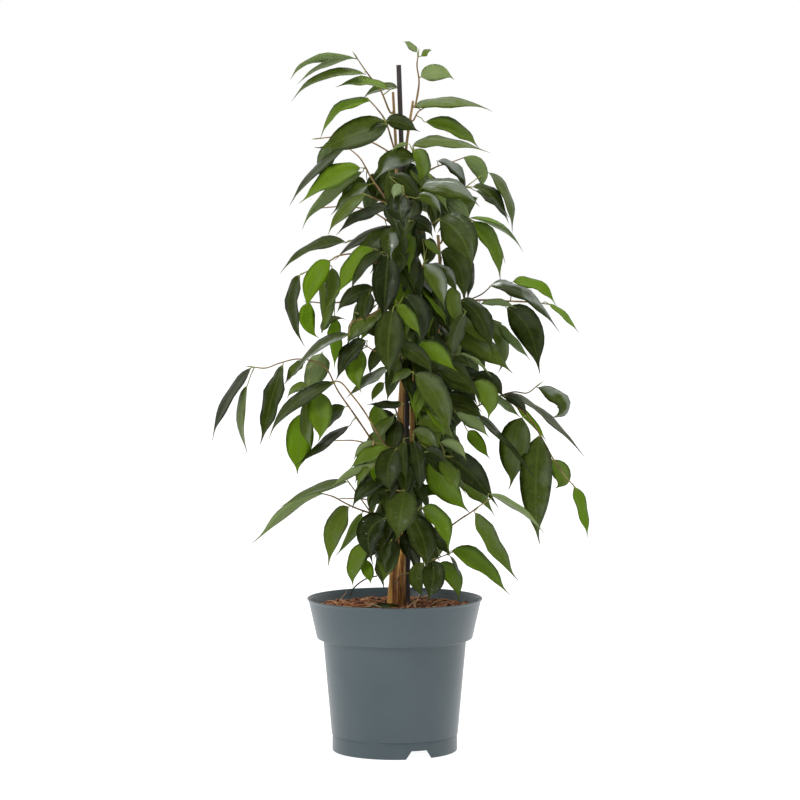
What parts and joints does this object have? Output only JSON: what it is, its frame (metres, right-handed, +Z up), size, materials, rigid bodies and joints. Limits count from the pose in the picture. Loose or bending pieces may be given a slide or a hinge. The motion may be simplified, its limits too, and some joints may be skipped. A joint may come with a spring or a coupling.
{
  "type": "potted weeping fig",
  "caption": "Upright weeping fig trained along a thin stake in a round tapered nursery pot with a deep rim band; slender stems carry arching twigs with drooping, pointed glossy leaves.",
  "frame": {"origin": "middle of the pot's base, where it stands on the floor", "axes": "+Z up along the pot's axis; -Y is the side that the picture shows; +X is to the viewer's right"},
  "size_m": [0.4565, 0.2764, 0.8545],
  "materials": {
    "pot_plastic": "satin moulded",
    "potting_mix": "rough loose bark and coir",
    "stake_stick": "dark stained",
    "fig_bark": "thin smooth bark",
    "fig_leaf": "glossy above, dull below"
  },
  "bodies": {
    "root": {"pot": "pot_plastic", "soil": "potting_mix", "stake": "stake_stick", "stem_left": "fig_bark", "stem_right": "fig_bark", "stem_back": "fig_bark", "fallen_leaf": "fig_leaf", "spray_01": "fig_leaf", "spray_02": "fig_leaf", "spray_03": "fig_leaf", "spray_04": "fig_leaf", "spray_05": "fig_leaf", "spray_06": "fig_leaf", "spray_07": "fig_leaf", "spray_08": "fig_leaf", "spray_09": "fig_leaf", "spray_10": "fig_leaf", "spray_11": "fig_leaf", "spray_12": "fig_leaf", "spray_13": "fig_leaf", "spray_14": "fig_leaf", "spray_15": "fig_leaf", "spray_16": "fig_leaf", "spray_17": "fig_leaf", "spray_18": "fig_leaf", "spray_19": "fig_leaf", "spray_20": "fig_leaf", "spray_21": "fig_leaf", "spray_22": "fig_leaf", "spray_23": "fig_leaf", "spray_24": "fig_leaf", "spray_25": "fig_leaf", "spray_26": "fig_leaf", "spray_27": "fig_leaf", "spray_28": "fig_leaf", "spray_29": "fig_leaf", "spray_30": "fig_leaf", "spray_31": "fig_leaf", "spray_32": "fig_leaf", "spray_33": "fig_leaf", "spray_34": "fig_leaf", "spray_35": "fig_leaf", "spray_36": "fig_leaf", "spray_37": "fig_leaf", "spray_38": "fig_leaf", "spray_39": "fig_leaf", "spray_40": "fig_leaf", "spray_41": "fig_leaf", "spray_42": "fig_leaf", "spray_43": "fig_leaf", "spray_44": "fig_leaf", "spray_45": "fig_leaf", "spray_46": "fig_leaf", "spray_47": "fig_leaf", "spray_48": "fig_leaf", "spray_49": "fig_leaf", "spray_50": "fig_leaf"}
  },
  "joints": []
}
